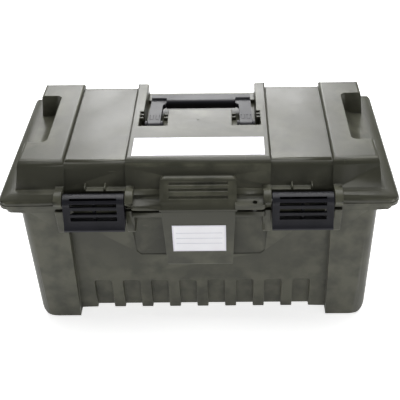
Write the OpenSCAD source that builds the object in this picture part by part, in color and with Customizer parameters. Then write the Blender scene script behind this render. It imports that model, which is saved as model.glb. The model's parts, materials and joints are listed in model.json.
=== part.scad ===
// Moulded plastic kit box with a hinged lid, two snap latches, a folding carry
// handle and a lift-out tray. Front faces -Y, +Z is up, millimetres.

/* [Overall] */
// Width of the lid's rim
lid_w = 560; // [520:2:600]
// Depth of the lid's rim, front to back
lid_d = 284; // [280:1:290]
// Height of the seam between base and lid
seam_z = 220; // [205:1:230]
// Height of the end blocks and the centre platform
top_z = 273.5; // [268:0.5:280]
// Thickness of the moulded walls
wall = 4; // [3:0.5:4.5]

/* [Base] */
// Half width of the tub
tub_hw = 252.5; // [246:0.5:254]
// Half depth of the tub's flat walls
tub_hd = 123.5; // [122:0.5:125]
// Half depth over the corner posts
post_hd = 136; // [132:0.5:137]
// Height of the tub's floor above the ground
floor_gap = 6.5; // [4:0.5:10]
// Spacing of the moulded slots
slot_pitch = 43.6; // [40:0.1:45]
// Width of a moulded slot
slot_w = 26; // [18:1:30]
// Height of the slots' top edge
slot_top = 65; // [40:1:80]

/* [Lid] */
// Half width of the centre platform
centre_hw = 101.5; // [100:0.5:103]
// Distance from the middle to an end block
block_in = 188; // [187:0.5:189]
// Half width over the end blocks
block_out = 256; // [252:0.5:258]
// How far the two channels lie below the blocks
channel_drop = 5; // [3:0.5:7]
// Widest opening of the lid, degrees
lid_open = 100; // [80:1:105]

/* [Handle] */
// Distance from the hinge line to the back of the handle
handle_reach = 80; // [74:1:82]
// Half width over the handle's arms
handle_hw = 79; // [76:0.5:80]
// Radius of the handle's hinge pins
handle_pin_r = 2; // [1.5:0.1:2.5]

/* [Latches] */
// Middle of each latch, measured from the middle of the box
latch_x = 145; // [144:0.5:146]
// Width of a latch
latch_w = 85; // [78:1:85]
// Radius of the latch hinge pins
latch_pin_r = 2; // [1.5:0.1:2.5]

/* [Padlock holes] */
// Radius of the holes in the two padlock tabs
padlock_r = 3.5; // [2.5:0.25:4]

/* [Tray] */
// Height of the tray's underside
tray_z = 148; // [140:1:150]
// Height of the tray's walls
tray_h = 50; // [35:1:50]

/* [Hidden] */
$fn = 40;

// colours
olive = [0.36, 0.36, 0.32];
black = [0.10, 0.10, 0.12];
charcoal = [0.17, 0.17, 0.18];
steel = [0.70, 0.71, 0.73];
white = [0.95, 0.95, 0.96];

// clearances
eps = 0.05;
gap = 0.3;
bore_slack = 0.05;

// seam and rims
band_z = seam_z + 16;
lip_z = seam_z + 5.5;
lip_step = 0.8;
rim_r = 16;
flange_inset = 7;
flange_under = seam_z - 10;
flange_top = seam_z + 3.9;
flange_skin = 4;

// raised part of the lid
foot_y = 118;
back_y = 119;
face_lean = 23;
front_round = 14;
back_round = 8;
block_round = 5;
block_lean = 4;
groove_w = 1.6;
groove_deep = 1.5;

// scoops in the end blocks
scoop_in = 220;
scoop_front = -52.5;
scoop_back = 78;
scoop_r = 26;

// handle well in the lid
well_hw = 85;
well_z = 246;
well_back_z = 253;
well_step_y = 95;
tongue_y = 33;
tongue_hw = 48.5;
pocket_out = 90.5;
pocket_front = -12;
pocket_back = 28;

// handle
pivot_y = 8;
pivot_z = 260;
arm_in = 60;
arm_top = 266;
arm_low = 258;
grip_hw = 54;
grip_top = 269.5;
grip_low = 255;
ear_t = 4;

// latch hinge line and its bay
hinge_y = -135;
hinge_z = seam_z + 7;
bay_in = 101.5;
bay_out = 188.5;
bay_y = -121.5;
roll_r = 12;
guide_t = 11.5;
guide_y = -146;
hook_top = seam_z - 17.3;
latch_foot = seam_z - 28;
latch_t = 4;
plate_lean = 17.5;
lip_y = -159;
catch_hw = 33;

// padlock tabs
tab_in = 55;
tab_out = 93;
tab_y = -148;
padlock_x = 78.5;
padlock_y = -141.5;

// front bulge
bulge_hw = 51.5;
bulge_low_hw = 47.5;
bulge_low = 114;
bulge_seam = seam_z - 2.2;
bulge_y = -148;
lid_bulge_hw = 54;
lid_bulge_top = seam_z + 34.5;
lid_bulge_brow = -120;
lid_bulge_round = 7;

// labels
label_t = 0.5;
front_label_z = seam_z - 50.75;
front_label_hw = 38;
front_label_hh = 24.25;

// rear hinge
rear_r = 6.5;
rear_y = -lip_y - rear_r;
rear_pin_r = 2.5;
rear_x = 150;
knuckle = 13;

// posts
post_in_top = 186;
post_in_low = 192;
post_side = 88;
post_corner = 25;
side_inset = 12.5;
slot_deep = 7.5;

// tray
tray_hx = 232;
tray_hy = 104;
tray_wall = 3;
spine_t = 4;
tray_pivot_z = tray_z + tray_h - 7;
tray_pin_r = 1.75;
tray_arm = 26;
tray_arm_w = 5;
tray_lug_x = 46;
spine_top = tray_pivot_z - 6;
divider_t = 2;
divider_front_x = 150;
divider_rear_x = 81.25;
divider_groove = 0.8;
divider_play = 0.4;

// points on an arc about (cy, cz)
function arc(cy, cz, r, a0, a1, n = 8) =
    [for (i = [0:n]) [cy + r * cos(a0 + (a1 - a0) * i / n), cz + r * sin(a0 + (a1 - a0) * i / n)]];

// points on a quarter of an ellipse
function ellipse_arc(cy, cz, ry, rz, a0, a1, n = 8) =
    [for (i = [0:n]) [cy + ry * cos(a0 + (a1 - a0) * i / n), cz + rz * sin(a0 + (a1 - a0) * i / n)]];

// a (y, z) outline pulled out along X
module along_x(x0, x1) {
    translate([x0, 0, 0])
        rotate([90, 0, 90])
            linear_extrude(x1 - x0)
                children();
}

// an (x, z) outline pulled out along Y
module along_y(y0, y1) {
    translate([0, y1, 0])
        rotate([90, 0, 0])
            linear_extrude(y1 - y0)
                children();
}

module box(low, high) {
    translate(low)
        cube(high - low);
}

module rod(x0, x1, y, z, r) {
    translate([x0, y, z])
        rotate([0, 90, 0])
            cylinder(h = x1 - x0, r = r);
}

// rectangle with round corners, centred
module round_rect(w, d, r) {
    polygon(concat(
        arc(w / 2 - r, d / 2 - r, r, 0, 90),
        arc(-w / 2 + r, d / 2 - r, r, 90, 180),
        arc(-w / 2 + r, -d / 2 + r, r, 180, 270),
        arc(w / 2 - r, -d / 2 + r, r, 270, 360)
    ));
}

module slab(w, d, r, z0, z1) {
    translate([0, 0, z0])
        linear_extrude(z1 - z0)
            round_rect(w, d, r);
}

module both_sides() {
    children();
    mirror([1, 0, 0])
        children();
}

module front_and_back() {
    children();
    mirror([0, 1, 0])
        children();
}

// ---- lid ----

// side outline of the lid's raised part: sloping round front, upright back
module raised_outline(t, drop) {
    top = top_z - drop - t;
    r = front_round - t / 2;
    rb = back_round - t / 2;
    foot = [-(foot_y - drop) + t * cos(face_lean), band_z - t * sin(face_lean)];
    mid_z = top - r;
    rise = (mid_z + r * sin(face_lean) - foot[1]) / cos(face_lean);
    mid_y = foot[0] + rise * sin(face_lean) + r * cos(face_lean);
    back = back_y - drop - t;
    polygon(concat(
        [[foot[0], seam_z + wall + eps], foot],
        arc(mid_y, mid_z, r, 180 - face_lean, 90),
        arc(back - rb, top - rb, rb, 90, 0),
        [[back, seam_z + wall + eps]]
    ));
}

// front outline of an end block, with rounded upper edges
module block_outline(t) {
    top = top_z - t;
    r = block_round;
    polygon(concat(
        [[block_in + t, seam_z + wall + eps], [block_in + t, top - r]],
        arc(block_in + t + r, top - r, r, 180, 90, 5),
        arc(block_out - block_lean - t - r, top - r, r, 90, 8, 5),
        [[block_out - t, band_z], [block_out - t, seam_z + wall + eps]]
    ));
}

module centre_outline(t) {
    top = top_z - t;
    r = 3;
    polygon(concat(
        [[-centre_hw + t, seam_z + wall + eps]],
        arc(-centre_hw + t + r, top - r, r, 180, 90, 4),
        arc(centre_hw - t - r, top - r, r, 90, 0, 4),
        [[centre_hw - t, seam_z + wall + eps]]
    ));
}

// convex band that runs round the foot of the lid
module band(t) {
    hw = lid_w / 2 - lip_step - t;
    hd = lid_d / 2 - lip_step - t;
    low = seam_z + (t > 0 ? 7.5 : 0);
    rx = 18 - t;
    rz = 8 - t;
    top = band_z - t;
    intersection() {
        slab(2 * hw, 2 * hd, rim_r - t, low, top);
        along_y(-hd, hd)
            polygon(concat(
                [[hw, low]],
                ellipse_arc(hw - rx, top - rz, rx, rz, 0, 90),
                ellipse_arc(-hw + rx, top - rz, rx, rz, 90, 180),
                [[-hw, low]]
            ));
        along_x(-hw, hw)
            polygon(concat(
                [[hd, low]],
                ellipse_arc(hd - rx, top - rz, rx, rz, 0, 90),
                ellipse_arc(-hd + rx, top - rz, rx, rz, 90, 180),
                [[-hd, low]]
            ));
    }
}

// space cleared for the latches and for the padlock tabs
module front_bays(t) {
    low = seam_z - 1;
    both_sides() {
        box([bay_in - t, -lid_d, low], [bay_out + t, bay_y + t, band_z + 1]);
        box([bulge_hw, -lid_d, low], [bay_in - guide_t, -131 + t, band_z + 1]);
    }
}

module scoop(t) {
    intersection() {
        along_y(scoop_front - t, scoop_back + t)
            polygon(concat(
                [[scoop_in - t, top_z + 5]],
                arc(scoop_in - t + scoop_r, band_z - t + scoop_r, scoop_r, 180, 270),
                [[lid_w / 2 + 5, band_z - t], [lid_w / 2 + 5, top_z + 5]]
            ));
        translate([scoop_in - t + 100, (scoop_front + scoop_back) / 2, 0])
            slab(200, scoop_back - scoop_front + 2 * t, 8, band_z - 30, top_z + 6);
    }
}

module handle_well(t) {
    up = top_z + 5;
    box([-well_hw - t, tongue_y - t, well_z - t], [well_hw + t, well_step_y + t, up]);
    box([-well_hw - t, well_step_y - eps, well_back_z - t], [well_hw + t, lid_d / 2, up]);
    both_sides()
        box([tongue_hw - t, pocket_front - t, well_z - t], [pocket_out + t, pocket_back + t, up]);
    both_sides()
        box([tongue_hw - t, pocket_back - eps, well_z - t], [well_hw + t, tongue_y + eps, up]);
}

// the lid as a block, pulled in by t all over
module lid_form(t) {
    difference() {
        union() {
            difference() {
                band(t);
                front_bays(t);
            }
            both_sides()
                intersection() {
                    along_x(block_in + t, block_out - t)
                        raised_outline(t, 0);
                    along_y(-lid_d / 2, lid_d / 2)
                        block_outline(t);
                }
            both_sides()
                along_x(centre_hw - t - 1, block_in + t + 1)
                    raised_outline(t, channel_drop);
            intersection() {
                along_x(-centre_hw + t, centre_hw - t)
                    raised_outline(t, 0);
                along_y(-lid_d / 2, lid_d / 2)
                    centre_outline(t);
            }
        }
        both_sides()
            scoop(t);
        handle_well(t);
    }
}

module lid_bulge(t) {
    low = bulge_seam + gap - 5 * t;
    top = lid_bulge_top - t;
    corner_x = lid_bulge_hw - lid_bulge_round - 0.7;
    corner_z = lid_bulge_top - lid_bulge_round;
    intersection() {
        along_x(-lid_bulge_hw + t, lid_bulge_hw - t)
            polygon([
                [-100, low], [bulge_y + t, low], [bulge_y + t, bulge_seam + 4 - 0.8 * t],
                [lid_bulge_brow + t, top - 1.5], [lid_bulge_brow + 2 + t, top], [-100, top]
            ]);
        along_y(bulge_y, -100)
            polygon(concat(
                [[-lid_bulge_hw + t, low - 1], [lid_bulge_hw - t, low - 1]],
                arc(corner_x, corner_z, lid_bulge_round - t, 0, 90),
                arc(-corner_x, corner_z, lid_bulge_round - t, 90, 180)
            ));
    }
}

// three finger grooves in the bulge's sloping face, from the upper one down
module bulge_grooves() {
    lean = atan2(lid_bulge_brow - bulge_y, lid_bulge_top - 1.5 - bulge_seam - 4);
    for (g = [[36.6, 2.3], [27.4, 2.1], [16.8, 2.4]])
        translate([0, bulge_y, bulge_seam + 4])
            rotate([-lean, 0, 0])
                box([-41, -1, g[0] - g[1]], [41, 2.2, g[0] + g[1]]);
}

// upright pads beside each latch that hold its pin
module latch_guide(x0) {
    along_x(x0, x0 + guide_t)
        polygon(concat(
            [[-108, band_z - 8], [-108, band_z + 5], [-118, band_z + 5]],
            arc(-131, hinge_z, 15, 65, 150, 6),
            [[guide_y, hinge_z + 4.5], [guide_y, hinge_z + 2], [-141.5, seam_z + 2], [-121, seam_z + 2],
             [-119, band_z - 8]]
        ));
}

module latch_guides() {
    latch_guide(bay_in - guide_t);
    latch_guide(bay_out);
}

module padlock_tab(z0, z1, y_back) {
    both_sides()
        translate([0, 0, z0])
            linear_extrude(z1 - z0)
                polygon(concat(
                    [[tab_in - 4, y_back], [tab_in - 4, tab_y]],
                    arc(tab_out - 3, tab_y + 3, 3, 270, 360, 4),
                    [[tab_out, y_back]]
                ));
}

module padlock_hole() {
    translate([padlock_x, padlock_y, seam_z - 30])
        cylinder(h = 60, r = padlock_r);
}

// small ribs between the lid's face and each latch
module gussets() {
    for (x = [-14, 14])
        along_x(latch_x + x - 1.25, latch_x + x + 1.25)
            polygon([
                [-104, band_z + 5], [-118.5, band_z + 5], [bay_y, band_z + 3],
                [bay_y, band_z - 1], [-104, band_z - 1]
            ]);
}

// knuckle k of the five in a rear hinge; side is 1 for the lid and -1 for the base
module rear_knuckle(k, side) {
    x0 = rear_x + (k - 2.5) * knuckle + gap;
    x1 = rear_x + (k - 1.5) * knuckle - gap;
    difference() {
        union() {
            rod(x0, x1, rear_y, seam_z, rear_r);
            if (side > 0)
                box([x0, 139.5, seam_z + gap], [x1, rear_y, seam_z + rear_r]);
            else
                box([x0, 134, seam_z - rear_r], [x1, rear_y, seam_z - gap]);
        }
        rod(x0 - 1, x1 + 1, rear_y, seam_z, rear_pin_r + bore_slack);
    }
}

module lid_shell() {
    color(olive)
        difference() {
            union() {
                difference() {
                    union() {
                        lid_form(0);
                        difference() {
                            slab(lid_w, lid_d, rim_r, seam_z, lip_z);
                            front_bays(0);
                        }
                        lid_bulge(0);
                    }
                    difference() {
                        lid_form(wall);
                        gusset_clearance();
                    }
                    // room for the base's flange, then a ledge that rests on it
                    difference() {
                        slab(lid_w - 7, lid_d - 7, rim_r - 3.5, seam_z - 1, flange_top + gap);
                        front_bays(3.5);
                    }
                    difference() {
                        slab(lid_w - 18, lid_d - 18, rim_r - 7, seam_z, seam_z + 8.5);
                        front_bays(wall);
                    }
                    lid_bulge(3.6);
                }
                both_sides() {
                    latch_guides();
                    gussets();
                }
                padlock_tab(seam_z + 1, seam_z + 9, -127);
                both_sides()
                    for (k = [1, 3])
                        rear_knuckle(k, 1);
                handle_bars();
            }
            bulge_grooves();
            padlock_hole();
            both_sides() {
                rod(bay_in - 10, bay_out + 10, hinge_y, hinge_z, latch_pin_r + bore_slack);
                box([block_in - groove_w, -lid_d / 2 + 24, top_z - channel_drop - groove_deep],
                    [block_in + eps, back_y - 8, top_z + 1]);
                box([centre_hw - eps, -95, top_z - channel_drop - groove_deep],
                    [centre_hw + groove_w, back_y - 8, top_z + 1]);
            }
            box([-94, -91, top_z - 0.6], [94, -45, top_z + 1]);
            translate([-2.5, 2.5, top_z - 0.8])
                cylinder(h = 2, r = 1.5);
            // bay floors stay clear of the latch as it swings
            both_sides()
                rod(bay_in + eps, bay_out - eps, hinge_y, hinge_z, roll_r + 0.6);
        }
}

// nothing is hollowed right behind the guides, so that they stay backed
module gusset_clearance() {
    both_sides() {
        box([bay_in - guide_t, -125, seam_z], [bay_in + 1, -116, band_z]);
        box([bay_out - 1, -125, seam_z], [bay_out + guide_t, -116, band_z]);
    }
}

// cross bars moulded over the sides of the handle's pockets
module handle_bars() {
    both_sides()
        for (y = [18.5, 9.5]) {
            box([tongue_hw - 1, y, 267], [54.5, y + 3.5, top_z]);
            box([84.5, y, 267], [pocket_out + 1, y + 3.5, top_z]);
        }
}

// ---- base ----

module slot_outline(hw, top) {
    r = 5;
    polygon(concat(
        [[-hw, -1]],
        arc(-hw + r, top - r, r, 180, 90, 5),
        arc(hw - r, top - r, r, 90, 0, 5),
        [[hw, -1]]
    ));
}

module wall_slots() {
    front_and_back()
        for (k = [-3.5:1:3.5])
            translate([k * slot_pitch, 0, 0])
                along_y(-tub_hd - 1, -tub_hd + slot_deep)
                    slot_outline(slot_w / 2, slot_top);
    both_sides() {
        box([tub_hw - side_inset, -post_side, -1], [tub_hw + 1, post_side, seam_z - 45]);
        for (k = [-1:1])
            along_x(tub_hw - side_inset - slot_deep, tub_hw)
                translate([k * slot_pitch, 0])
                    slot_outline(slot_w / 2, slot_top);
    }
}

// upright posts at the four corners, which are the feet
module posts(t) {
    low = t > 0 ? t : 0;
    intersection() {
        both_sides()
            along_y(-post_hd + t, post_hd - t)
                polygon(concat(
                    [[post_in_top + t, seam_z], [post_in_low + t, low]],
                    arc(tub_hw - post_corner, post_corner, post_corner - t, 270, 360),
                    [[tub_hw - t, seam_z]]
                ));
        difference() {
            slab(2 * (tub_hw - t), 2 * (post_hd - t), 14 - t, low, seam_z - 0.3);
            box([-tub_hw, -post_side - t, -1], [tub_hw, post_side + t, seam_z]);
        }
    }
}

module base_bulge(t) {
    intersection() {
        along_y(bulge_y + t, -110)
            polygon([
                [-bulge_low_hw + t, bulge_low + t], [bulge_low_hw - t, bulge_low + t],
                [bulge_hw - t, bulge_seam], [-bulge_hw + t, bulge_seam]
            ]);
        along_x(-bulge_hw, bulge_hw)
            polygon([
                [-100, bulge_low], [-141 + t, bulge_low], [-146.5 + t, bulge_low + 5],
                [bulge_y + t, bulge_seam], [-100, bulge_seam]
            ]);
    }
}

// slanting finger pockets on both sides of the bulge
module finger_pockets(t) {
    intersection() {
        both_sides()
            along_y(-tub_hd - 20, -100)
                polygon([
                    [bulge_low_hw - 6, bulge_low + 4 - t], [89 + t, bulge_low + 4 - t],
                    [95.5 + t, bulge_low + 11 - t], [100.5 + t, flange_under],
                    [bulge_low_hw - 6, flange_under]
                ]);
        along_x(-110, 110)
            polygon([
                [-tub_hd - 20, bulge_low - 20], [-tub_hd + t, bulge_low - 20],
                [-tub_hd + 0.8 + t, bulge_low + 4],
                [-tub_hd + 9.5 + t, flange_under + 1], [-tub_hd - 20, flange_under + 1]
            ]);
    }
}

module base_flange() {
    hw = lid_w / 2 - flange_inset;
    hd = lid_d / 2 - 5;
    difference() {
        slab(2 * hw, 2 * hd, 14, flange_under, flange_top);
        slab(2 * (hw - 4), 2 * (hd - 4), 10, flange_under - 1, flange_top - flange_skin);
        // the latch bays, and the low seam in front of them
        both_sides() {
            box([bay_in, -lid_d, flange_under - 1], [bay_out, -tub_hd, seam_z + 9]);
            box([bulge_hw - 2, -lid_d, seam_z - gap], [bay_out + guide_t + 3, -116, seam_z + 9]);
        }
    }
}

// room in the base for the lid's half of the bulge
module lid_bulge_room() {
    hw = lid_bulge_hw + 0.5;
    box([-hw, -lid_d, bulge_seam], [hw, -tub_hd + wall + 1, seam_z + 9]);
}

// room between the corner posts for the latches
module latch_room() {
    both_sides()
        box([bay_in, -lid_d, latch_foot - 3], [bay_out, -tub_hd, seam_z]);
}

module base_cavity() {
    low = floor_gap + wall;
    in_x = tub_hw - side_inset - slot_deep - wall;
    in_y = tub_hd - slot_deep - wall;
    slab(2 * in_x, 2 * in_y, 10, low, seam_z + 10);
    slab(2 * (tub_hw - side_inset - wall), 2 * (tub_hd - wall), 10, slot_top + wall, seam_z + 10);
    slab(2 * (tub_hw - wall), 2 * (tub_hd - wall), 10, seam_z - 41, seam_z + 10);
    posts(wall);
}

module catches() {
    both_sides()
        along_x(latch_x - catch_hw, latch_x + catch_hw)
            polygon([
                [-tub_hd + 1, hook_top + gap], [-131, hook_top + gap], [-131, hook_top + 2.5],
                [-127, hook_top + 6], [-tub_hd + 1, hook_top + 9]
            ]);
}

module base_guides() {
    both_sides()
        for (x = [bay_in - guide_t, bay_out])
            along_x(x, x + guide_t)
                polygon([
                    [-tub_hd + 1, seam_z - 44], [-140, seam_z - 44], [-143, seam_z - 41],
                    [-144.5, seam_z - 3], [-tub_hd + 1, seam_z - 3]
                ]);
}

// ledges for the tray, at both ends of the cavity
module tray_ledges() {
    both_sides()
        along_y(-60, 60)
            polygon([
                [tub_hw - side_inset - wall + 1, tray_z - 0.2], [226, tray_z - 0.2],
                [226, tray_z - 5], [tub_hw - side_inset - wall + 1, tray_z - 16]
            ]);
}

module base_tub() {
    color(olive)
        difference() {
            union() {
                difference() {
                    union() {
                        difference() {
                            slab(2 * tub_hw, 2 * tub_hd, 14, floor_gap, seam_z - gap);
                            wall_slots();
                        }
                        posts(0);
                        base_flange();
                        base_bulge(0);
                    }
                    difference() {
                        base_cavity();
                        finger_pockets(wall);
                    }
                    base_bulge(wall);
                    finger_pockets(0);
                    latch_room();
                }
                base_bulge_walls();
                catches();
                base_guides();
                tray_ledges();
                padlock_tab(seam_z - 11, seam_z - 3, -127);
                both_sides()
                    for (k = [0, 2, 4])
                        rear_knuckle(k, -1);
            }
            padlock_hole();
            lid_bulge_room();
        }
}

// side walls of the bulge, which the finger pockets must not open
module base_bulge_walls() {
    difference() {
        base_bulge(0);
        base_bulge(wall);
        box([-bulge_hw, -tub_hd + wall, 0], [bulge_hw, 0, seam_z]);
    }
}

// ---- small parts of the lid ----

module rear_pin() {
    color(steel)
        rod(rear_x - 2.5 * knuckle, rear_x + 2.5 * knuckle, rear_y, seam_z, rear_pin_r);
}

module lid_hinge_pin_right() {
    rear_pin();
}

module lid_hinge_pin_left() {
    mirror([1, 0, 0])
        rear_pin();
}

module handle_arm() {
    reach = pivot_y + handle_reach;
    difference() {
        union() {
            translate([0, 0, arm_low])
                linear_extrude(arm_top - arm_low)
                    polygon(concat(
                        [[handle_hw - 0.2, pivot_y], [handle_hw - 0.2, pivot_y + 12],
                         [handle_hw - 1.5, reach - 4],
                         [grip_hw - 6, reach - 4], [grip_hw - 6, reach - 22]],
                        arc(grip_hw - 6, reach - 34, 12, 90, 20, 5),
                        [[arm_in + 0.2, pivot_y + 12], [arm_in + 0.2, pivot_y]]
                    ));
            rod(arm_in + 0.2, handle_hw - 0.2, pivot_y, pivot_z, 6);
        }
        rod(arm_in - 1, handle_hw + 1, pivot_y, pivot_z, handle_pin_r + bore_slack);
        // two moulded U shapes on the arm's end
        for (x = [65, 74])
            difference() {
                box([x - 3.2, pivot_y + 8, arm_top - 1.2], [x + 3.2, pivot_y + 21, arm_top + 1]);
                box([x - 2, pivot_y + 9.2, arm_top - 2], [x + 2, pivot_y + 22, arm_top + 2]);
            }
    }
}

module carry_handle() {
    reach = pivot_y + handle_reach;
    color(black) {
        both_sides()
            handle_arm();
        // cross piece behind, with the deeper grip in front of it
        along_x(-handle_hw + 1.5, handle_hw - 1.5)
            polygon(concat(
                [[reach - 14, arm_low], [reach - 14, grip_top - 1.5], [reach - 12.5, grip_top]],
                arc(reach - 4, grip_top - 4, 4, 90, 0, 4),
                [[reach, arm_low]]
            ));
        along_x(-grip_hw, grip_hw)
            polygon(concat(
                arc(reach - 18, grip_top - 6, 6, 180, 90, 5),
                arc(reach - 8, grip_top - 4, 4, 90, 0, 4),
                arc(reach - 7, grip_low + 3, 3, 0, -90, 4),
                arc(reach - 21, grip_low + 3, 3, 270, 180, 4)
            ));
    }
}

// black bearing block that holds one end of the handle
module handle_clip() {
    color(black)
        difference() {
            union() {
                box([arm_in - ear_t, pocket_front + 2, well_z + 0.2],
                    [handle_hw + ear_t, pocket_back - 4, well_z + 3.2]);
                for (x = [arm_in - ear_t, handle_hw + 0.1])
                    along_x(x, x + ear_t - 0.1)
                        polygon(concat(
                            [[pivot_y + 9, well_z + 0.2]],
                            arc(pivot_y, pivot_z, 8, 0, 180),
                            [[pivot_y - 9, well_z + 0.2]]
                        ));
                // front wall with a ring boss
                box([arm_in - ear_t, pocket_front + 2, well_z + 0.2],
                    [handle_hw + ear_t, pocket_front + 5, pivot_z + 4]);
                translate([(arm_in + handle_hw) / 2, pocket_front + 2 + 4.5, pivot_z + 3])
                    rod(-7, 7, 0, 0, 4.5);
            }
            rod(arm_in - ear_t + 0.8, handle_hw + ear_t - 0.8, pivot_y, pivot_z, handle_pin_r + bore_slack);
        }
}

module handle_clip_right() {
    handle_clip();
}

module handle_clip_left() {
    mirror([1, 0, 0])
        handle_clip();
}

module handle_pin() {
    color(steel)
        rod(arm_in - ear_t + 1, handle_hw + ear_t - 1, pivot_y, pivot_z, handle_pin_r);
}

module handle_pin_right() {
    handle_pin();
}

module handle_pin_left() {
    mirror([1, 0, 0])
        handle_pin();
}

// ---- latches ----

// the front of the plate at height z, before its foot turns out
function plate_y(z) = hinge_y - roll_r - (hinge_z - z) * tan(plate_lean);

module latch_plate_outline() {
    bend = latch_foot + 8;
    polygon(concat(
        arc(hinge_y, hinge_z, roll_r, 65, 180, 14),
        [[plate_y(bend), bend], [lip_y, latch_foot + 3], [lip_y, latch_foot],
         [lip_y + latch_t, latch_foot], [plate_y(bend) + latch_t, bend],
         [hinge_y - roll_r + latch_t, hinge_z]],
        arc(hinge_y, hinge_z, roll_r - latch_t, 180, 65, 14)
    ));
}

// end plate of a latch, seen from the side
module latch_cheek_outline() {
    bend = latch_foot + 8;
    polygon(concat(
        arc(hinge_y, hinge_z, roll_r - 1, 60, 180, 10),
        [[plate_y(bend) + 1.5, bend], [lip_y + 2.5, latch_foot + 2], [-146, latch_foot + 3],
         [-131, latch_foot + 14], [-130, hinge_z]]
    ));
}

// web between the hinge barrel and the plate
module latch_web_outline() {
    low = hook_top - 4;
    polygon(concat(
        arc(hinge_y, hinge_z, roll_r - 2, 60, 180, 10),
        [[plate_y(low) + 1.5, low], [-140, low], [-138, hinge_z - 6], [hinge_y + 4, hinge_z]]
    ));
}

// hook that grips under the catch
module latch_hook_outline() {
    low = hook_top - 4.2;
    polygon([
        [plate_y(hook_top) + 1.5, hook_top], [-128.5, hook_top], [-128.5, hook_top - 2.2],
        [-131.5, low], [plate_y(low) + 1.5, low]
    ]);
}

// four slots through the front; the upper two lie on the rolled edge
module latch_slots() {
    hw = 32.5;
    translate([latch_x, hinge_y, hinge_z])
        for (g = [[-53, 1.7], [-9, 2.4]])
            rotate([g[0], 0, 0])
                box([-hw, -roll_r - 2, -g[1]], [hw, -roll_r + latch_t + 0.6, g[1]]);
    translate([latch_x, hinge_y - roll_r, hinge_z])
        rotate([-plate_lean, 0, 0])
            for (d = [8.2, 18])
                box([-hw, -2, -d - 2.9], [hw, latch_t + 0.6, -d + 2.9]);
}

module latch() {
    x0 = latch_x - latch_w / 2;
    x1 = latch_x + latch_w / 2;
    cheek = 3;
    color(black)
        difference() {
            union() {
                along_x(x0, x1)
                    latch_plate_outline();
                rod(x0, x1, hinge_y, hinge_z, 5);
                for (x = [x0, x1 - cheek])
                    along_x(x, x + cheek)
                        latch_cheek_outline();
                along_x(latch_x - 2, latch_x + 2)
                    latch_web_outline();
                along_x(x0 + 7, x1 - 7)
                    latch_hook_outline();
            }
            rod(x0 - 1, x1 + 1, hinge_y, hinge_z, latch_pin_r + bore_slack);
            latch_slots();
        }
}

module latch_right() {
    latch();
}

module latch_left() {
    mirror([1, 0, 0])
        latch();
}

module latch_pin() {
    color(steel)
        rod(bay_in - 9.5, bay_out + 9.5, hinge_y, hinge_z, latch_pin_r);
}

module latch_pin_right() {
    latch_pin();
}

module latch_pin_left() {
    mirror([1, 0, 0])
        latch_pin();
}

// ---- labels ----

module top_label() {
    color(white)
        box([-93.5, -90.5, top_z - 0.6], [93.5, -45.5, top_z + 0.2]);
}

// lies on the bulge's face, which leans forward a little
module front_label() {
    rise = bulge_seam - bulge_low - 5;
    face_y = bulge_y + 1.5 * (bulge_seam - front_label_z) / rise;
    color(white)
        translate([0, face_y - 0.02, front_label_z])
            rotate([atan2(1.5, rise), 0, 0])
                box([-front_label_hw, -label_t, -front_label_hh], [front_label_hw, 0, front_label_hh]);
}

// ---- tray ----

// lug on the spine that holds one end of the tray's handle
module tray_lug() {
    rod(tray_lug_x - 6, tray_lug_x, 0, tray_pivot_z, 6);
    box([tray_lug_x - 6, -3, tray_z + 3], [tray_lug_x, 3, tray_pivot_z]);
}

// grooves in the wall and the spine that a divider slides in
module divider_grooves(x, wall_y) {
    hw = divider_t / 2 + divider_play;
    deep = divider_groove + divider_play;
    low = tray_z + tray_wall;
    box([x - hw, wall_y - eps, low], [x + hw, wall_y + deep, tray_z + tray_h + 1]);
    box([x - hw, spine_t / 2 - deep, low], [x + hw, spine_t / 2 + eps, tray_z + tray_h + 1]);
}

module tray() {
    top = tray_z + tray_h;
    in_x = tray_hx - tray_wall;
    in_y = tray_hy - tray_wall;
    color(charcoal)
        difference() {
            union() {
                slab(2 * tray_hx, 2 * tray_hy, 10, tray_z, top);
                // rolled edge round the top
                slab(2 * tray_hx + 4, 2 * tray_hy + 4, 12, top - 4, top);
            }
            difference() {
                slab(2 * in_x, 2 * in_y, 7, tray_z + tray_wall, top + 1);
                // spine down the middle
                box([-in_x - 1, -spine_t / 2, tray_z], [in_x + 1, spine_t / 2, spine_top]);
                both_sides()
                    tray_lug();
            }
            both_sides() {
                mirror([0, 1, 0])
                    divider_grooves(divider_front_x, in_y);
                divider_grooves(divider_rear_x, in_y);
                rod(tray_lug_x - 5, tray_lug_x + 1, 0, tray_pivot_z, tray_pin_r + bore_slack);
            }
        }
}

// loose wall behind the spine, with a finger notch
module divider(x) {
    wall_y = tray_hy - tray_wall;
    color(charcoal)
        difference() {
            box([x - divider_t / 2, spine_t / 2 - divider_groove, tray_z + tray_wall + 0.2],
                [x + divider_t / 2, wall_y + divider_groove, spine_top]);
            translate([x - 5, wall_y / 2, spine_top + 6])
                rotate([0, 90, 0])
                    cylinder(h = 10, r = 16);
        }
}

module divider_rear_right() {
    divider(divider_rear_x);
}

module divider_rear_left() {
    mirror([1, 0, 0])
        divider(divider_rear_x);
}

module divider_front_right() {
    mirror([0, 1, 0])
        divider(divider_front_x);
}

module divider_front_left() {
    rotate([0, 0, 180])
        divider(divider_front_x);
}

module tray_handle() {
    x0 = tray_lug_x + 0.5;
    x1 = x0 + tray_arm_w;
    color(black)
        difference() {
            union() {
                both_sides() {
                    rod(x0, x1, 0, tray_pivot_z, 4.5);
                    box([x0, 0, tray_pivot_z - 3.5], [x1, tray_arm, tray_pivot_z + 3.5]);
                }
                rod(-x1, x1, tray_arm, tray_pivot_z, 4);
            }
            both_sides()
                rod(x0 - 1, x1 - 1, 0, tray_pivot_z, tray_pin_r + bore_slack);
        }
}

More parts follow.
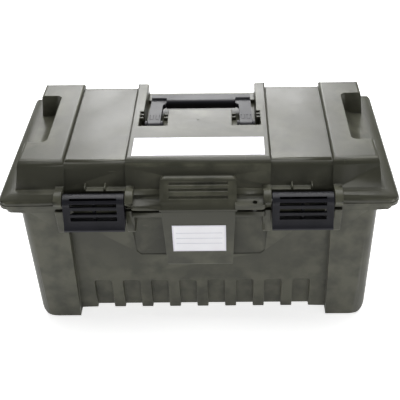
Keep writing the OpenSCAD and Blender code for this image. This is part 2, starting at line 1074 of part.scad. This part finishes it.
module tray_pin() {
    color(steel)
        rod(tray_lug_x - 4.8, tray_lug_x + 4.3, 0, tray_pivot_z, tray_pin_r);
}

module tray_pin_right() {
    tray_pin();
}

module tray_pin_left() {
    mirror([1, 0, 0])
        tray_pin();
}

base_tub();
lid_shell();
lid_hinge_pin_left();
lid_hinge_pin_right();
carry_handle();
handle_clip_left();
handle_clip_right();
handle_pin_left();
handle_pin_right();
latch_left();
latch_right();
latch_pin_left();
latch_pin_right();
top_label();
front_label();
tray();
tray_handle();
tray_pin_left();
tray_pin_right();
divider_front_left();
divider_front_right();
divider_rear_left();
divider_rear_right();
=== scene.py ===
import json
import math

import bmesh
import bpy
from bpy.props import FloatProperty, FloatVectorProperty, PointerProperty
from mathutils import Matrix, Vector
from mathutils.bvhtree import BVHTree
from mathutils.geometry import intersect_point_line


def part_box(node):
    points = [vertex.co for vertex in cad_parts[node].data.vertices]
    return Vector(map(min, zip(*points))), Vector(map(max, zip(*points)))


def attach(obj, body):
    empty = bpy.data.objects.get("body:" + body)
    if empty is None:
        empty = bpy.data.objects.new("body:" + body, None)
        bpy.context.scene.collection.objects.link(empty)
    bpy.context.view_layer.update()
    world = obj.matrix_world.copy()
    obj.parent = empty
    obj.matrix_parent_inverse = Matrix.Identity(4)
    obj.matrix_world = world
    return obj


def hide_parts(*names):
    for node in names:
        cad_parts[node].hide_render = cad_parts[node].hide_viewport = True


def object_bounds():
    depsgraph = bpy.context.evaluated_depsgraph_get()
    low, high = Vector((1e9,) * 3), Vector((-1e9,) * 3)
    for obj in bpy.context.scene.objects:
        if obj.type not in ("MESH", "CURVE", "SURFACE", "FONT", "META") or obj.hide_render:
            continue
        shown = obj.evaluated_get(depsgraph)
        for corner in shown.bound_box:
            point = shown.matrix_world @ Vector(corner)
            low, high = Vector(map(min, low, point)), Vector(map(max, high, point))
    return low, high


bl_info = {
    "name": "Hose kit case",
    "version": (1, 0, 0),
    "blender": (4, 5, 0),
    "location": "View3D > Sidebar > Case",
    "description": "Rounded shells, latches, handle, labels and tray of a moulded carry case",
    "category": "Object",
}

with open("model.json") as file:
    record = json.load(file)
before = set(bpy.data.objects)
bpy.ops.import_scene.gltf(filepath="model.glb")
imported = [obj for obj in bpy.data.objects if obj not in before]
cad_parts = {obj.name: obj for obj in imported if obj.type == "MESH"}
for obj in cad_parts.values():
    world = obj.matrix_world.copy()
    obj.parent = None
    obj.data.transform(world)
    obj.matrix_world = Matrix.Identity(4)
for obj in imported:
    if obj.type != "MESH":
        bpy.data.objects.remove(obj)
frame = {"nodes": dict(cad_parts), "record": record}
CAD_LOW, CAD_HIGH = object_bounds()
MM = 0.001
BODY_OF = {
    node: body
    for body, nodes in frame["record"]["behaviour"]["bodies"].items()
    for node in nodes
}
SLOT_OF = {part["node"]: part["material_slot"] for part in frame["record"]["subparts"]}


# ---- sizes and colours ----

class CaseLooks(bpy.types.PropertyGroup):
    shell_edge: FloatProperty(
        name="Shell edges", description="Rounding of the lid's and the base's edges",
        default=1.3 * MM, min=0.2 * MM, max=2 * MM, unit="LENGTH")
    small_edge: FloatProperty(
        name="Small edges", description="Rounding of the clips', latches' and dividers' edges",
        default=0.6 * MM, min=0.1 * MM, max=1 * MM, unit="LENGTH")
    grip_edge: FloatProperty(
        name="Grip edges", description="Rounding of the carry handle's edges",
        default=2.2 * MM, min=0.5 * MM, max=4 * MM, unit="LENGTH")
    olive: FloatVectorProperty(
        name="Olive plastic", description="Colour of the shells' plastic",
        default=(0.05, 0.05, 0.036), min=0, max=1, subtype="COLOR")
    black: FloatVectorProperty(
        name="Black plastic", description="Colour of the handle's and latches' plastic",
        default=(0.012, 0.012, 0.016), min=0, max=1, subtype="COLOR")
    charcoal: FloatVectorProperty(
        name="Charcoal plastic", description="Colour of the tray's plastic",
        default=(0.03, 0.03, 0.032), min=0, max=1, subtype="COLOR")


class CaseStage(bpy.types.PropertyGroup):
    camera_place: FloatVectorProperty(
        name="Camera place", description="Where the camera stands",
        default=(0.0434, -0.9456, 0.8627), subtype="TRANSLATION", unit="LENGTH")
    camera_tilt: FloatProperty(
        name="Camera tilt", description="How far the camera looks down",
        default=math.radians(38.04), subtype="ANGLE")
    camera_turn: FloatProperty(
        name="Camera turn", description="How far the camera looks to the left",
        default=math.radians(0.8), subtype="ANGLE")
    camera_roll: FloatProperty(
        name="Camera roll", description="How far the camera leans",
        default=math.radians(-1.03), subtype="ANGLE")
    lens: FloatProperty(
        name="Lens", description="Focal length in millimetres on a 36 mm sensor",
        default=66.8, min=20, max=200)
    shift: FloatProperty(
        name="Sideways shift", description="Lens shift as a share of the picture's width",
        default=-0.0533, min=-0.2, max=0.2)


# ---- small helpers ----

def only(*pieces):
    """Select these objects and nothing else, the last one active."""
    bpy.ops.object.select_all(action="DESELECT")
    for piece in pieces:
        piece.select_set(True)
        bpy.context.view_layer.objects.active = piece
    return pieces[-1]


def in_edit(piece, steps):
    """Run some steps in edit mode with everything selected."""
    only(piece)
    bpy.ops.object.mode_set(mode="EDIT")
    bpy.ops.mesh.select_all(action="SELECT")
    steps()
    bpy.ops.object.mode_set(mode="OBJECT")


def apply_modifier(piece, kind, **settings):
    only(piece)
    modifier = piece.modifiers.new(kind.title(), kind)
    for name, value in settings.items():
        setattr(modifier, name, value)
    bpy.ops.object.modifier_apply(modifier=modifier.name)


def finish_piece(piece, node, material):
    """Give a piece its material and slot, and let it ride on its node's body in its place."""
    piece.data.materials.clear()
    piece.data.materials.append(material)
    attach(piece, BODY_OF[node])
    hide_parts(node)


# ---- rounded copies of the moulded parts ----

SHARP = math.radians(28)            # edges folded less than this stay as they are
ROOM_SHARE = 0.42                   # most of a face's width that one rounding may take
STRAY_SHARE = 0.45                  # how far rounding may leave the part, per rounding width
FOLD_LIMIT = -0.1                   # how far a face may turn against the part before it counts as folded
CALMING = (0.4, 0.0, 0.0, 0.0)      # factors on the rounding near a spoilt spot, try by try
CALMING_REACH = 2.5                 # how far from a spoilt spot edges are calmed, per rounding width
MERGE = 0.12 * MM
SLIVER = 0.05 * MM
FLAT = math.radians(0.8)
SMOOTH = math.radians(50)
TINY_AREA = 1e-10
TINY_LENGTH = 1e-6


def room_beside(face, edge):
    """How far the face runs on beside an edge before it meets its own outline again."""
    start, end = (v.co for v in edge.verts)
    along = (end - start).normalized()
    inward = face.normal.cross(along)
    least = 1.0
    for share in (0.1, 0.5, 0.9):
        point = start.lerp(end, share)
        ahead = 1.0
        behind = 1.0
        for other in face.edges:
            if other == edge:
                continue
            a, b = (v.co - point for v in other.verts)
            sa, sb = a.dot(along), b.dot(along)
            if sa * sb > 0 or abs(sa - sb) < 1e-9:
                continue
            ta, tb = a.dot(inward), b.dot(inward)
            hit = ta - (tb - ta) * sa / (sb - sa)
            if hit > TINY_LENGTH:
                ahead = min(ahead, hit)
            elif hit < -TINY_LENGTH:
                behind = min(behind, -hit)
        least = min(least, ahead if face_lies_towards(face, edge, inward) else behind)
    return least


def face_lies_towards(face, edge, inward):
    """True if the face lies on the inward side of its edge."""
    for loop in face.loops:
        if loop.edge == edge:
            run = loop.link_loop_next.vert.co - loop.vert.co
            return face.normal.cross(run).dot(inward) > 0
    return True


def weigh_edges(mesh, width):
    """Weight each sharp edge by the width that its two faces leave for rounding."""
    work = bmesh.new()
    work.from_mesh(mesh)
    weight = work.edges.layers.float.new("bevel_weight_edge")
    for edge in work.edges:
        if len(edge.link_faces) != 2 or edge.calc_face_angle(0) < SHARP:
            continue
        room = min(room_beside(face, edge) for face in edge.link_faces)
        edge[weight] = min(1.0, ROOM_SHARE * room / width)
    work.to_mesh(mesh)
    work.free()


def spoilt_spots(piece, source, width):
    """Points where the rounding has run away from the moulded part or folded over."""
    bpy.context.view_layer.update()
    shape = piece.evaluated_get(bpy.context.evaluated_depsgraph_get())
    mesh = shape.to_mesh()
    mesh.calc_loop_triangles()
    spots = [
        vertex.co.copy() for vertex in mesh.vertices
        if source.find_nearest(vertex.co)[3] > STRAY_SHARE * width]
    for triangle in mesh.loop_triangles:
        if triangle.area < TINY_AREA:
            continue
        centre = sum((mesh.vertices[index].co for index in triangle.vertices), Vector()) / 3
        if triangle.normal.dot(source.find_nearest(centre)[1]) < FOLD_LIMIT:
            spots.append(centre)
    shape.to_mesh_clear()
    return spots


def calm_edges(mesh, spots, reach, factor):
    """Lower the rounding of the edges that pass near these spots."""
    weights = mesh.attributes["bevel_weight_edge"].data
    for edge in mesh.edges:
        if weights[edge.index].value == 0:
            continue
        start, end = (mesh.vertices[index].co for index in edge.vertices)
        for spot in spots:
            place, share = intersect_point_line(spot, start, end)
            nearest = start if share < 0 else end if share > 1 else place
            if (nearest - spot).length < reach:
                weights[edge.index].value *= factor
                break


def rounded_copy(node, name, width, segments=2):
    """A copy of a moulded part whose edges are rounded; the new faces are marked for the painted edge
    highlight.
    """
    only(frame["nodes"][node])
    bpy.ops.object.duplicate()
    piece = bpy.context.active_object
    piece.name = name
    piece.data.name = name
    for key in [key for key in piece.keys() if key.startswith("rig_")]:
        del piece[key]
    piece.data.materials.clear()

    def tidy():
        bpy.ops.mesh.remove_doubles(threshold=MERGE)
        bpy.ops.mesh.dissolve_degenerate(threshold=SLIVER)
        bpy.ops.mesh.dissolve_limited(angle_limit=FLAT)

    in_edit(piece, tidy)
    weigh_edges(piece.data, width)
    # The second slot marks the rounding's new faces, where the painted edge highlight goes.
    for mark in ("moulded", "worn"):
        piece.data.materials.append(bpy.data.materials.get(mark) or bpy.data.materials.new(mark))
    source = BVHTree.FromPolygons(
        [vertex.co for vertex in piece.data.vertices],
        [face.vertices for face in piece.data.polygons])
    modifier = piece.modifiers.new("Rounding", "BEVEL")
    modifier.width = width
    modifier.segments = segments
    modifier.limit_method = "WEIGHT"
    modifier.use_clamp_overlap = False
    modifier.material = 1
    for factor in CALMING:
        spots = spoilt_spots(piece, source, width)
        if not spots:
            break
        calm_edges(piece.data, spots, CALMING_REACH * width, factor)
    only(piece)
    bpy.ops.object.modifier_apply(modifier=modifier.name)
    mark_highlit_edges(piece.data)
    smooth(piece)
    return piece


def mark_highlit_edges(mesh):
    """Keep which points lie on a rounded edge as an attribute, which places the painted edge highlight, then
    drop the marking slots.
    """
    worn = [0.0] * len(mesh.vertices)
    for face in mesh.polygons:
        if face.material_index == 1:
            for index in face.vertices:
                worn[index] = 1.0
    attribute = mesh.attributes.new("highlit_edge", "FLOAT", "POINT")
    attribute.data.foreach_set("value", worn)
    for face in mesh.polygons:
        face.material_index = 0


def smooth(piece):
    only(piece)
    bpy.ops.object.shade_smooth_by_angle(angle=SMOOTH)
    apply_modifier(piece, "WEIGHTED_NORMAL", weight=50, keep_sharp=True)


# ---- shader groups ----

def add_node(tree, kind, place, **settings):
    node = tree.nodes.new(kind)
    node.location = place
    for name, value in settings.items():
        setattr(node, name, value)
    return node


def new_group(name, inputs, outputs):
    """An empty shader group with named sockets: (name, type, default)."""
    group = bpy.data.node_groups.new(name, "ShaderNodeTree")
    for label, kind, default in inputs:
        socket = group.interface.new_socket(label, in_out="INPUT", socket_type=kind)
        socket.default_value = default
    for label, kind in outputs:
        group.interface.new_socket(label, in_out="OUTPUT", socket_type=kind)
    start = add_node(group, "NodeGroupInput", (-900, 0))
    end = add_node(group, "NodeGroupOutput", (900, 0))
    return group, start, end


def mix_colours(tree, place, factor, first, second):
    """Mix two colours; each argument is a socket or a constant."""
    node = add_node(tree, "ShaderNodeMix", place, data_type="RGBA")
    sockets = (node.inputs[0], node.inputs[6], node.inputs[7])
    for socket, value in zip(sockets, (factor, first, second)):
        if isinstance(value, bpy.types.NodeSocket):
            tree.links.new(value, socket)
        else:
            socket.default_value = value
    return node.outputs[2]


def calculate(tree, place, operation, first, second=0.0):
    node = add_node(tree, "ShaderNodeMath", place, operation=operation)
    for socket, value in zip(node.inputs, (first, second)):
        if isinstance(value, bpy.types.NodeSocket):
            tree.links.new(value, socket)
        else:
            socket.default_value = value
    return node.outputs[0]


def noise(tree, place, vector, scale, detail=3.0, roughness=0.5):
    node = add_node(tree, "ShaderNodeTexNoise", place)
    node.inputs["Scale"].default_value = scale
    node.inputs["Detail"].default_value = detail
    node.inputs["Roughness"].default_value = roughness
    tree.links.new(vector, node.inputs["Vector"])
    return node.outputs["Fac"]


def spread(tree, place, value, low, high, new_low=0.0, new_high=1.0):
    node = add_node(tree, "ShaderNodeMapRange", place)
    tree.links.new(value, node.inputs["Value"])
    limits = {"From Min": low, "From Max": high, "To Min": new_low, "To Max": new_high}
    for name, amount in limits.items():
        node.inputs[name].default_value = amount
    return node.outputs["Result"]


def stretched(tree, place, vector, factors):
    node = add_node(tree, "ShaderNodeMapping", place)
    node.inputs["Scale"].default_value = factors
    tree.links.new(vector, node.inputs["Vector"])
    return node.outputs["Vector"]


def build_grain():
    """Fine moulded grain: a pebbled height, and the slow cloudiness of foamed plastic."""
    group, start, end = new_group(
        "Moulded grain",
        [("Position", "NodeSocketVector", (0, 0, 0))],
        [("Height", "NodeSocketFloat"), ("Cloud", "NodeSocketFloat"), ("Streaks", "NodeSocketFloat")])
    place = start.outputs["Position"]
    pebbles = noise(group, (-500, 200), place, 1400, 2.0, 0.6)
    ripple = noise(group, (-500, 0), place, 260, 2.0)
    cloud = noise(group, (-500, -200), place, 9, 4.0, 0.6)
    along_flow = stretched(group, (-700, -400), place, (60, 9, 6))
    flow = noise(group, (-500, -400), along_flow, 1, 3.0, 0.65)
    soft_ripple = calculate(group, (-300, 50), "MULTIPLY", ripple, 0.8)
    height = calculate(group, (-100, 150), "ADD", pebbles, soft_ripple)
    group.links.new(height, end.inputs["Height"])
    group.links.new(spread(group, (0, -200), cloud, 0.35, 0.65), end.inputs["Cloud"])
    group.links.new(spread(group, (0, -400), flow, 0.3, 0.7), end.inputs["Streaks"])
    return group


def build_wear_and_highlight():
    """Handling marks: short fine scratches, dust that settles on faces that look up, and a painted highlight
    along the rounded edges, broken into patches.
    """
    group, start, end = new_group(
        "Handling marks and edge highlight",
        [("Position", "NodeSocketVector", (0, 0, 0)), ("Normal", "NodeSocketVector", (0, 0, 1)),
         ("Edge", "NodeSocketFloat", 0.0)],
        [("Scratches", "NodeSocketFloat"), ("Dust", "NodeSocketFloat"), ("Edge highlight", "NodeSocketFloat")])
    place = start.outputs["Position"]
    long_one = noise(group, (-500, 300), stretched(group, (-700, 300), place, (700, 25, 90)), 1, 1.0)
    long_two = noise(group, (-500, 100), stretched(group, (-700, 100), place, (30, 800, 70)), 1, 1.0)
    both = calculate(group, (-300, 200), "MAXIMUM", long_one, long_two)
    where = spread(group, (-300, 0), noise(group, (-500, -50), place, 14, 2.0), 0.5, 0.62)
    scratches = calculate(group, (-50, 150), "MULTIPLY", spread(group, (-150, 200), both, 0.74, 0.78), where)
    split = add_node(group, "ShaderNodeSeparateXYZ", (-700, -250))
    group.links.new(start.outputs["Normal"], split.inputs[0])
    upward = spread(group, (-500, -250), split.outputs["Z"], 0.6, 1.0)
    speck = spread(group, (-300, -350), noise(group, (-500, -400), place, 45, 5.0, 0.7), 0.42, 0.75)
    dust = calculate(group, (-50, -250), "MULTIPLY", upward, speck)
    # Painted highlight: the rounded edges, lightened in patches.
    patchy = spread(group, (-300, -550), noise(group, (-500, -600), place, 35, 3.0), 0.35, 0.6)
    edge_highlit = calculate(group, (-50, -500), "MULTIPLY", start.outputs["Edge"], patchy)
    group.links.new(scratches, end.inputs["Scratches"])
    group.links.new(dust, end.inputs["Dust"])
    group.links.new(edge_highlit, end.inputs["Edge highlight"])
    return group


def group_node(tree, name, place):
    node = add_node(tree, "ShaderNodeGroup", place)
    node.node_tree = bpy.data.node_groups[name]
    return node


# How much paler the painted edge highlight makes the plastic's colour.
EDGE_HIGHLIGHT_LIFT = 2.6
SCRATCH_LIFT = 2.6
SCRATCH_SHARE = 0.35
STREAK_SHARE = 0.35
DUST = (0.34, 0.33, 0.31, 1.0)


def scaled(colour, factor):
    return tuple(min(1.0, part * factor) for part in colour) + (1.0,)


def moulded_plastic(name, colour, roughness, grain_depth, cloudiness, dust_share, edge_highlight_share):
    """Moulded plastic: pebbled grain, cloudy colour, a painted highlight on the rounded edges, scratches and
    a little dust.
    """
    material = bpy.data.materials.new(name)
    material.use_nodes = True
    tree = material.node_tree
    shader = tree.nodes["Principled BSDF"]
    where = add_node(tree, "ShaderNodeTexCoord", (-1400, 0))
    # Mask of the rounded edges, read for the painted edge highlight.
    edge = add_node(tree, "ShaderNodeAttribute", (-1400, -300), attribute_name="highlit_edge")
    grain = group_node(tree, "Moulded grain", (-1100, 100))
    wear_and_highlight = group_node(tree, "Handling marks and edge highlight", (-1100, -200))
    for node in (grain, wear_and_highlight):
        tree.links.new(where.outputs["Object"], node.inputs["Position"])
    tree.links.new(where.outputs["Normal"], wear_and_highlight.inputs["Normal"])
    tree.links.new(edge.outputs["Fac"], wear_and_highlight.inputs["Edge"])
    cloudy = mix_colours(
        tree, (-850, 200), grain.outputs["Cloud"],
        scaled(colour, 1 - cloudiness), scaled(colour, 1 + cloudiness))
    streaky = mix_colours(
        tree, (-650, 200), calculate(tree, (-850, 0), "MULTIPLY", grain.outputs["Streaks"], STREAK_SHARE),
        cloudy, scaled(colour, 1 - cloudiness * 0.8))
    # Painted highlight: rounded edges mixed towards a paler colour.
    edge_highlit = mix_colours(
        tree, (-450, 200), calculate(tree, (-650, 0), "MULTIPLY", wear_and_highlight.outputs["Edge highlight"], edge_highlight_share),
        streaky, scaled(colour, EDGE_HIGHLIGHT_LIFT))
    scratched = mix_colours(
        tree, (-250, 200), calculate(tree, (-450, 0), "MULTIPLY", wear_and_highlight.outputs["Scratches"], SCRATCH_SHARE),
        edge_highlit, scaled(colour, SCRATCH_LIFT))
    dusty = mix_colours(
        tree, (-50, 200), calculate(tree, (-250, 0), "MULTIPLY", wear_and_highlight.outputs["Dust"], dust_share),
        scratched, DUST)
    tree.links.new(dusty, shader.inputs["Base Color"])
    rough = spread(
        tree, (-450, -200), grain.outputs["Cloud"], 0.0, 1.0, roughness - 0.04, roughness + 0.05)
    tree.links.new(
        calculate(tree, (-250, -200), "ADD", rough, calculate(
            tree, (-450, -350), "MULTIPLY", wear_and_highlight.outputs["Dust"], dust_share)),
        shader.inputs["Roughness"])
    bump = add_node(tree, "ShaderNodeBump", (-250, -450))
    bump.inputs["Strength"].default_value = 1.0
    bump.inputs["Distance"].default_value = grain_depth
    tree.links.new(grain.outputs["Height"], bump.inputs["Height"])
    tree.links.new(bump.outputs["Normal"], shader.inputs["Normal"])
    shader.inputs["IOR"].default_value = 1.5
    shader.inputs["Specular IOR Level"].default_value = 0.3
    return material


def brushed_pin(name):
    """Plated steel pin: fine turning lines round the pin and a faint stain."""
    material = bpy.data.materials.new(name)
    material.use_nodes = True
    tree = material.node_tree
    shader = tree.nodes["Principled BSDF"]
    where = add_node(tree, "ShaderNodeTexCoord", (-1100, 0))
    round_pin = stretched(tree, (-900, 0), where.outputs["Object"], (4000, 60, 60))
    lines = noise(tree, (-700, 0), round_pin, 1, 2.0)
    stain = noise(tree, (-700, -250), where.outputs["Object"], 120, 3.0)
    tree.links.new(mix_colours(
        tree, (-400, 100), spread(tree, (-550, -200), stain, 0.4, 0.7),
        (0.62, 0.63, 0.65, 1.0), (0.45, 0.44, 0.42, 1.0)), shader.inputs["Base Color"])
    tree.links.new(spread(tree, (-400, -100), lines, 0.3, 0.7, 0.22, 0.42), shader.inputs["Roughness"])
    shader.inputs["Metallic"].default_value = 1.0
    return material


BORDER_INSET = 2.2 * MM
LINE_MARGIN = 5 * MM
LINE_HALF = 0.35 * MM


def beyond(tree, place, value, middle, half):
    """1 where a coordinate is further than half from the middle, else 0."""
    offset = calculate(tree, place, "ABSOLUTE", calculate(tree, place, "SUBTRACT", value, middle))
    return calculate(tree, place, "GREATER_THAN", offset, half)


def label_film(name, node, across, lines):
    """White film with a pale printed border and, if asked for, ruled lines to write on."""
    low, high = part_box(node)
    middle, half = (low + high) / 2, (high - low) / 2
    up = "XYZ".index(across)
    material = bpy.data.materials.new(name)
    material.use_nodes = True
    tree = material.node_tree
    shader = tree.nodes["Principled BSDF"]
    where = add_node(tree, "ShaderNodeTexCoord", (-1600, 0))
    split = add_node(tree, "ShaderNodeSeparateXYZ", (-1400, -300))
    tree.links.new(where.outputs["Object"], split.inputs[0])
    x, y = split.outputs["X"], split.outputs[across]
    fibre = noise(tree, (-1100, 100), where.outputs["Object"], 900, 3.0)
    yellowed = noise(tree, (-1100, -100), where.outputs["Object"], 30, 3.0)
    border = calculate(
        tree, (-900, -300), "MAXIMUM",
        beyond(tree, (-1100, -300), x, middle.x, half.x - BORDER_INSET),
        beyond(tree, (-1100, -450), y, middle[up], half[up] - BORDER_INSET))
    colour = mix_colours(
        tree, (-800, 100), spread(tree, (-950, -100), yellowed, 0.4, 0.7),
        (0.92, 0.92, 0.95, 1.0), (0.88, 0.87, 0.9, 1.0))
    colour = mix_colours(
        tree, (-600, 100), calculate(tree, (-700, -300), "MULTIPLY", border, 0.35),
        colour, (0.62, 0.58, 0.72, 1.0))
    for index, share in enumerate(lines):
        height = middle[up] + half[up] * share
        off_line = calculate(
            tree, (-900, -600 - 150 * index), "MAXIMUM",
            beyond(tree, (-1100, -600 - 150 * index), x, middle.x, half.x - LINE_MARGIN),
            beyond(tree, (-1100, -650 - 150 * index), y, height, LINE_HALF))
        on_line = calculate(tree, (-700, -600 - 150 * index), "SUBTRACT", 1.0, off_line)
        colour = mix_colours(
            tree, (-500 + 80 * index, 100), calculate(tree, (-600, -600), "MULTIPLY", on_line, 0.7),
            colour, (0.3, 0.32, 0.4, 1.0))
    tree.links.new(colour, shader.inputs["Base Color"])
    tree.links.new(spread(tree, (-500, -350), fibre, 0.3, 0.7, 0.28, 0.4), shader.inputs["Roughness"])
    bump = add_node(tree, "ShaderNodeBump", (-250, -450))
    bump.inputs["Strength"].default_value = 0.4
    bump.inputs["Distance"].default_value = 0.03 * MM
    tree.links.new(fibre, bump.inputs["Height"])
    tree.links.new(bump.outputs["Normal"], shader.inputs["Normal"])
    return material


# ---- operators ----

class CASE_OT_materials(bpy.types.Operator):
    """Build the plastics, the steel and the label film"""
    bl_idname = "case.materials"
    bl_label = "Materials"

    def execute(self, context):
        looks = context.scene.case_looks
        build_grain()
        build_wear_and_highlight()
        moulded_plastic("Olive plastic", looks.olive, 0.36, 0.04 * MM, 0.03, 0.03, 0.5)
        moulded_plastic("Black plastic", looks.black, 0.42, 0.02 * MM, 0.1, 0.01, 0.15)
        moulded_plastic("Charcoal plastic", looks.charcoal, 0.42, 0.04 * MM, 0.1, 0.06, 0.25)
        brushed_pin("Plated steel")
        label_film("Strip film", "top_label", "Y", ())
        label_film("Sticker film", "front_label", "Z", (0.42, 0.02, -0.38))
        return {"FINISHED"}


class CASE_OT_shells(bpy.types.Operator):
    """Round the base and the lid"""
    bl_idname = "case.shells"
    bl_label = "Base and lid"

    def execute(self, context):
        looks = context.scene.case_looks
        for node, name in (("base_tub", "base_moulding"), ("lid_shell", "lid_moulding")):
            piece = rounded_copy(node, name, looks.shell_edge)
            finish_piece(piece, node, bpy.data.materials["Olive plastic"])
        return {"FINISHED"}


class CASE_OT_handle(bpy.types.Operator):
    """Round the carry handle and its two clips"""
    bl_idname = "case.handle"
    bl_label = "Carry handle"

    def execute(self, context):
        looks = context.scene.case_looks
        piece = rounded_copy("carry_handle", "handle_moulding", looks.grip_edge, 3)
        finish_piece(piece, "carry_handle", bpy.data.materials["Black plastic"])
        for side in ("left", "right"):
            node = "handle_clip_" + side
            piece = rounded_copy(node, "clip_moulding_" + side, looks.small_edge)
            finish_piece(piece, node, bpy.data.materials["Black plastic"])
        return {"FINISHED"}


class CASE_OT_latches(bpy.types.Operator):
    """Round the two latches"""
    bl_idname = "case.latches"
    bl_label = "Latches"

    def execute(self, context):
        looks = context.scene.case_looks
        for side in ("left", "right"):
            node = "latch_" + side
            piece = rounded_copy(node, "latch_moulding_" + side, looks.small_edge)
            finish_piece(piece, node, bpy.data.materials["Black plastic"])
        return {"FINISHED"}


class CASE_OT_labels(bpy.types.Operator):
    """Give the two labels their film"""
    bl_idname = "case.labels"
    bl_label = "Labels"

    def execute(self, context):
        for node, film in (("top_label", "Strip film"), ("front_label", "Sticker film")):
            piece = frame["nodes"][node]
            piece.data.materials.clear()
            piece.data.materials.append(bpy.data.materials[film])
        return {"FINISHED"}


class CASE_OT_tray(bpy.types.Operator):
    """Round the tray, its handle and its dividers"""
    bl_idname = "case.tray"
    bl_label = "Tray"

    def execute(self, context):
        looks = context.scene.case_looks
        for node in ("tray", *(name for name in frame["nodes"] if name.startswith("divider_"))):
            piece = rounded_copy(node, node + "_moulding", looks.small_edge)
            finish_piece(piece, node, bpy.data.materials["Charcoal plastic"])
        piece = rounded_copy("tray_handle", "tray_handle_moulding", looks.small_edge)
        finish_piece(piece, "tray_handle", bpy.data.materials["Black plastic"])
        return {"FINISHED"}


class CASE_OT_pins(bpy.types.Operator):
    """Give the hinge pins their plated steel"""
    bl_idname = "case.pins"
    bl_label = "Pins"

    def execute(self, context):
        for name, piece in frame["nodes"].items():
            if SLOT_OF[name] == "pin_steel":
                piece.data.materials.clear()
                piece.data.materials.append(bpy.data.materials["Plated steel"])
        return {"FINISHED"}


FLOOR_SIZE = 12
FLOOR_GLOW = 0.75
SKY = 0.12


def area_light(name, place, target, width, height, power):
    bpy.ops.object.light_add(type="AREA", location=place)
    lamp = bpy.context.active_object
    lamp.name = name
    lamp.data.shape = "RECTANGLE"
    lamp.data.size = width
    lamp.data.size_y = height
    lamp.data.energy = power
    lamp.rotation_euler = (Vector(target) - Vector(place)).to_track_quat("-Z", "Y").to_euler()
    lamp.visible_camera = False


class CASE_OT_stage(bpy.types.Operator):
    """Lay the floor and set the lights, the sky and the camera"""
    bl_idname = "case.stage"
    bl_label = "Stage"

    def execute(self, context):
        stage = context.scene.case_stage
        self.floor()
        self.lights()
        self.camera(context, stage)
        context.scene.view_settings.view_transform = "Standard"
        return {"FINISHED"}

    def floor(self):
        bpy.ops.object.select_all(action="DESELECT")
        bpy.ops.mesh.primitive_plane_add(size=FLOOR_SIZE, location=(0, 0, CAD_LOW.z))
        floor = bpy.context.active_object
        floor.name = "floor"
        material = bpy.data.materials.new("Pale floor")
        material.use_nodes = True
        shader = material.node_tree.nodes["Principled BSDF"]
        shader.inputs["Base Color"].default_value = (0.9, 0.9, 0.9, 1.0)
        shader.inputs["Roughness"].default_value = 0.8
        shader.inputs["Emission Color"].default_value = (1.0, 1.0, 1.0, 1.0)
        shader.inputs["Emission Strength"].default_value = FLOOR_GLOW
        floor.data.materials.append(material)

    def lights(self):
        middle = (CAD_LOW + CAD_HIGH) / 2
        area_light("back_softbox", (-0.14, 2.4, 1.75), middle, 1.6, 1.0, 62)
        area_light("top_softbox", (0.1, 0.7, 2.6), middle, 3.0, 2.2, 76)
        area_light("front_softbox", (1.7, -2.2, 0.9), middle, 1.2, 1.0, 5)
        world = bpy.data.worlds.new("Studio")
        world.use_nodes = True
        world.node_tree.nodes["Background"].inputs["Color"].default_value = (1, 1, 1, 1)
        world.node_tree.nodes["Background"].inputs["Strength"].default_value = SKY
        bpy.context.scene.world = world

    def camera(self, context, stage):
        bpy.ops.object.camera_add(location=stage.camera_place)
        camera = context.active_object
        turn = (
            Matrix.Rotation(stage.camera_turn, 3, "Z")
            @ Matrix.Rotation(math.pi / 2 - stage.camera_tilt, 3, "X")
            @ Matrix.Rotation(stage.camera_roll, 3, "Z"))
        camera.rotation_euler = turn.to_euler()
        camera.data.lens = stage.lens
        camera.data.sensor_width = 36
        camera.data.shift_x = stage.shift
        context.scene.camera = camera


class CASE_PT_panel(bpy.types.Panel):
    """List the case's pieces in the sidebar"""
    bl_idname = "CASE_PT_panel"
    bl_label = "Case"
    bl_space_type = "VIEW_3D"
    bl_region_type = "UI"
    bl_category = "Case"

    def draw(self, context):
        for group in (context.scene.case_looks, context.scene.case_stage):
            for name in group.__annotations__:
                self.layout.prop(group, name)
        for step in STEPS:
            self.layout.operator(step.bl_idname)


STEPS = (
    CASE_OT_materials, CASE_OT_shells, CASE_OT_handle, CASE_OT_latches, CASE_OT_labels,
    CASE_OT_tray, CASE_OT_pins, CASE_OT_stage,
)
CLASSES = (CaseLooks, CaseStage, *STEPS, CASE_PT_panel)


def register():
    for item in CLASSES:
        bpy.utils.register_class(item)
    bpy.types.Scene.case_looks = PointerProperty(type=CaseLooks)
    bpy.types.Scene.case_stage = PointerProperty(type=CaseStage)


def unregister():
    del bpy.types.Scene.case_stage
    del bpy.types.Scene.case_looks
    for item in reversed(CLASSES):
        bpy.utils.unregister_class(item)


def main():
    register()
    for step in STEPS:
        family, action = step.bl_idname.split(".")
        getattr(getattr(bpy.ops, family), action)()


if __name__ == "__main__":
    main()
